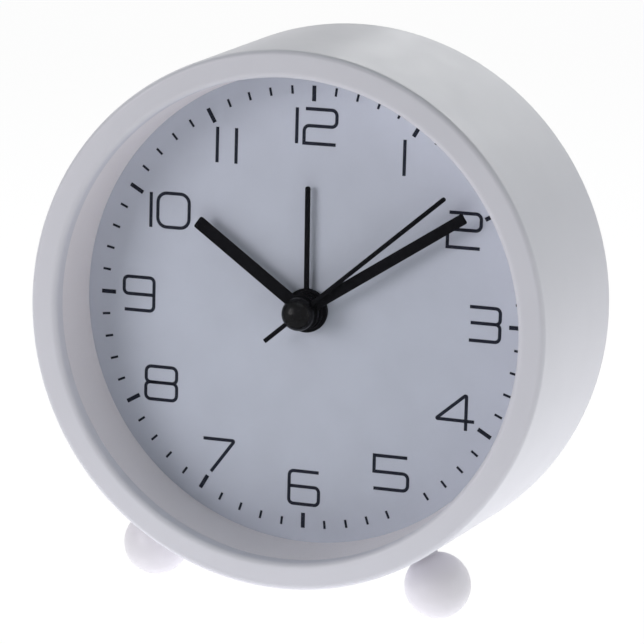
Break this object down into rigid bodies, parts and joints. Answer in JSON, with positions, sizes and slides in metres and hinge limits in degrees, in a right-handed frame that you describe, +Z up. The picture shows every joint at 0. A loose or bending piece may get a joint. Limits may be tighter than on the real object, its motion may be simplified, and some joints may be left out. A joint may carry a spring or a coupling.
{
  "type": "desk alarm clock",
  "caption": "Round analogue desk alarm clock with a leaning case on two ball feet, a recessed dial with four hands, and setting knobs, slider and battery door behind.",
  "frame": {"origin": "middle of the clock's bounding box, on the plane that it stands on", "axes": "+Z up, +Y towards the back, +X to the right as seen from the front"},
  "size_m": [0.0922, 0.0508, 0.0959],
  "materials": {
    "case_white": "satin",
    "reveal_white": "satin",
    "lens_clear": "clear acrylic",
    "dial_grey": "matt print",
    "inner_plastic": "moulded",
    "foot_white": "satin",
    "housing_plastic": "moulded",
    "wheel_plastic": "moulded",
    "magnet_grey": "sintered",
    "hand_black": "matt",
    "cap_black": "glossy",
    "soft_iron": "stamped",
    "bobbin_plastic": "moulded",
    "copper_wire": "enamelled",
    "board_green": "lacquered",
    "plated_steel": "plated",
    "buzzer_black": "moulded",
    "battery_jacket": "printed film",
    "cover_white": "fine grain",
    "door_white": "fine grain",
    "knob_white": "satin",
    "switch_grey": "satin",
    "screw_steel": "zinc plated"
  },
  "bodies": {
    "case": {"case_shell": "case_white", "reveal_ring": "reveal_white", "lens": "lens_clear", "dial": "dial_grey", "dial_frame": "inner_plastic", "left_foot": "foot_white", "right_foot": "foot_white", "movement_front_housing": "housing_plastic", "movement_rear_housing": "housing_plastic", "train_plate": "inner_plastic", "train_bridge": "inner_plastic", "stator": "soft_iron", "coil_core": "soft_iron", "coil_bobbin": "bobbin_plastic", "coil_winding": "copper_wire", "circuit_board": "board_green", "quartz_crystal": "plated_steel", "buzzer": "buzzer_black", "battery": "battery_jacket", "plus_contact": "plated_steel", "minus_contact": "plated_steel", "back_cover": "cover_white", "back_cover_screws": "screw_steel", "train_plate_screws": "screw_steel", "bridge_screws": "screw_steel"},
    "alarm_hand_set": {"alarm_hand": "hand_black", "alarm_wheel": "wheel_plastic"},
    "hour_hand_set": {"hour_hand": "hand_black", "hour_wheel": "wheel_plastic"},
    "minute_hand_set": {"minute_hand": "hand_black", "minute_pinion": "wheel_plastic"},
    "second_hand_set": {"second_hand": "hand_black", "second_hand_cap": "cap_black", "seconds_wheel": "wheel_plastic"},
    "centre_wheel_set": {"centre_wheel": "wheel_plastic"},
    "third_wheel_set": {"third_wheel": "wheel_plastic"},
    "intermediate_wheel_set": {"intermediate_wheel": "wheel_plastic"},
    "rotor_set": {"rotor": "magnet_grey"},
    "time_setting_set": {"motion_wheel": "wheel_plastic", "time_set_knob": "knob_white"},
    "alarm_setting_set": {"alarm_setting_pinion": "wheel_plastic", "alarm_set_knob": "knob_white"},
    "alarm_slider": {"alarm_switch": "switch_grey"},
    "door": {"battery_door": "door_white"}
  },
  "joints": [
    {"name": "minute_hand_turn", "type": "hinge", "parent": "case", "child": "minute_hand_set", "pos_m": [0, 0.00235, 0.04798], "axis": [0, 0.9834, -0.1817], "continuous": true},
    {"name": "hour_hand_turn", "type": "hinge", "parent": "case", "child": "hour_hand_set", "pos_m": [0, 0.00235, 0.04798], "axis": [0, 0.9834, -0.1817], "continuous": true},
    {"name": "second_hand_turn", "type": "hinge", "parent": "case", "child": "second_hand_set", "pos_m": [0, 0.00235, 0.04798], "axis": [0, 0.9834, -0.1817], "continuous": true},
    {"name": "alarm_knob_turn", "type": "hinge", "parent": "case", "child": "alarm_setting_set", "pos_m": [0.00804, 0.00357, 0.05461], "axis": [0, 0.9834, -0.1817], "continuous": true},
    {"name": "alarm_hand_turn", "type": "hinge", "parent": "case", "child": "alarm_hand_set", "pos_m": [0, 0.00235, 0.04798], "axis": [0, 0.9834, -0.1817], "continuous": true},
    {"name": "time_knob_turn", "type": "hinge", "parent": "case", "child": "time_setting_set", "pos_m": [-0.00804, 0.00357, 0.05461], "axis": [0, 0.9834, -0.1817], "continuous": true},
    {"name": "centre_wheel_turn", "type": "hinge", "parent": "case", "child": "centre_wheel_set", "pos_m": [0, 0.00235, 0.04798], "axis": [0, 0.9834, -0.1817], "continuous": true},
    {"name": "third_wheel_turn", "type": "hinge", "parent": "case", "child": "third_wheel_set", "pos_m": [0.00714, 0.00187, 0.04542], "axis": [0, 0.9834, -0.1817], "continuous": true},
    {"name": "intermediate_wheel_turn", "type": "hinge", "parent": "case", "child": "intermediate_wheel_set", "pos_m": [-0.00724, 0.00187, 0.04539], "axis": [0, 0.9834, -0.1817], "continuous": true},
    {"name": "rotor_turn", "type": "hinge", "parent": "case", "child": "rotor_set", "pos_m": [-0.0122, 0.00154, 0.04361], "axis": [0, 0.9834, -0.1817], "continuous": true},
    {"name": "alarm_switch_slide", "type": "slide", "parent": "case", "child": "alarm_slider", "axis": [1, 0, 0], "range_m": [0, 0.004]},
    {"name": "battery_door_lift", "type": "slide", "parent": "case", "child": "door", "axis": [0, 0.9834, -0.1817], "range_m": [0, 0.02]}
  ],
  "couplings": [
    {"joint": "hour_hand_turn", "follows": "minute_hand_turn", "ratio": 0.083333},
    {"joint": "time_knob_turn", "follows": "minute_hand_turn", "ratio": -0.33333},
    {"joint": "third_wheel_turn", "follows": "second_hand_turn", "ratio": -0.125},
    {"joint": "centre_wheel_turn", "follows": "second_hand_turn", "ratio": 0.016667},
    {"joint": "intermediate_wheel_turn", "follows": "second_hand_turn", "ratio": -6},
    {"joint": "rotor_turn", "follows": "second_hand_turn", "ratio": 30},
    {"joint": "alarm_hand_turn", "follows": "alarm_knob_turn", "ratio": -0.38889}
  ]
}
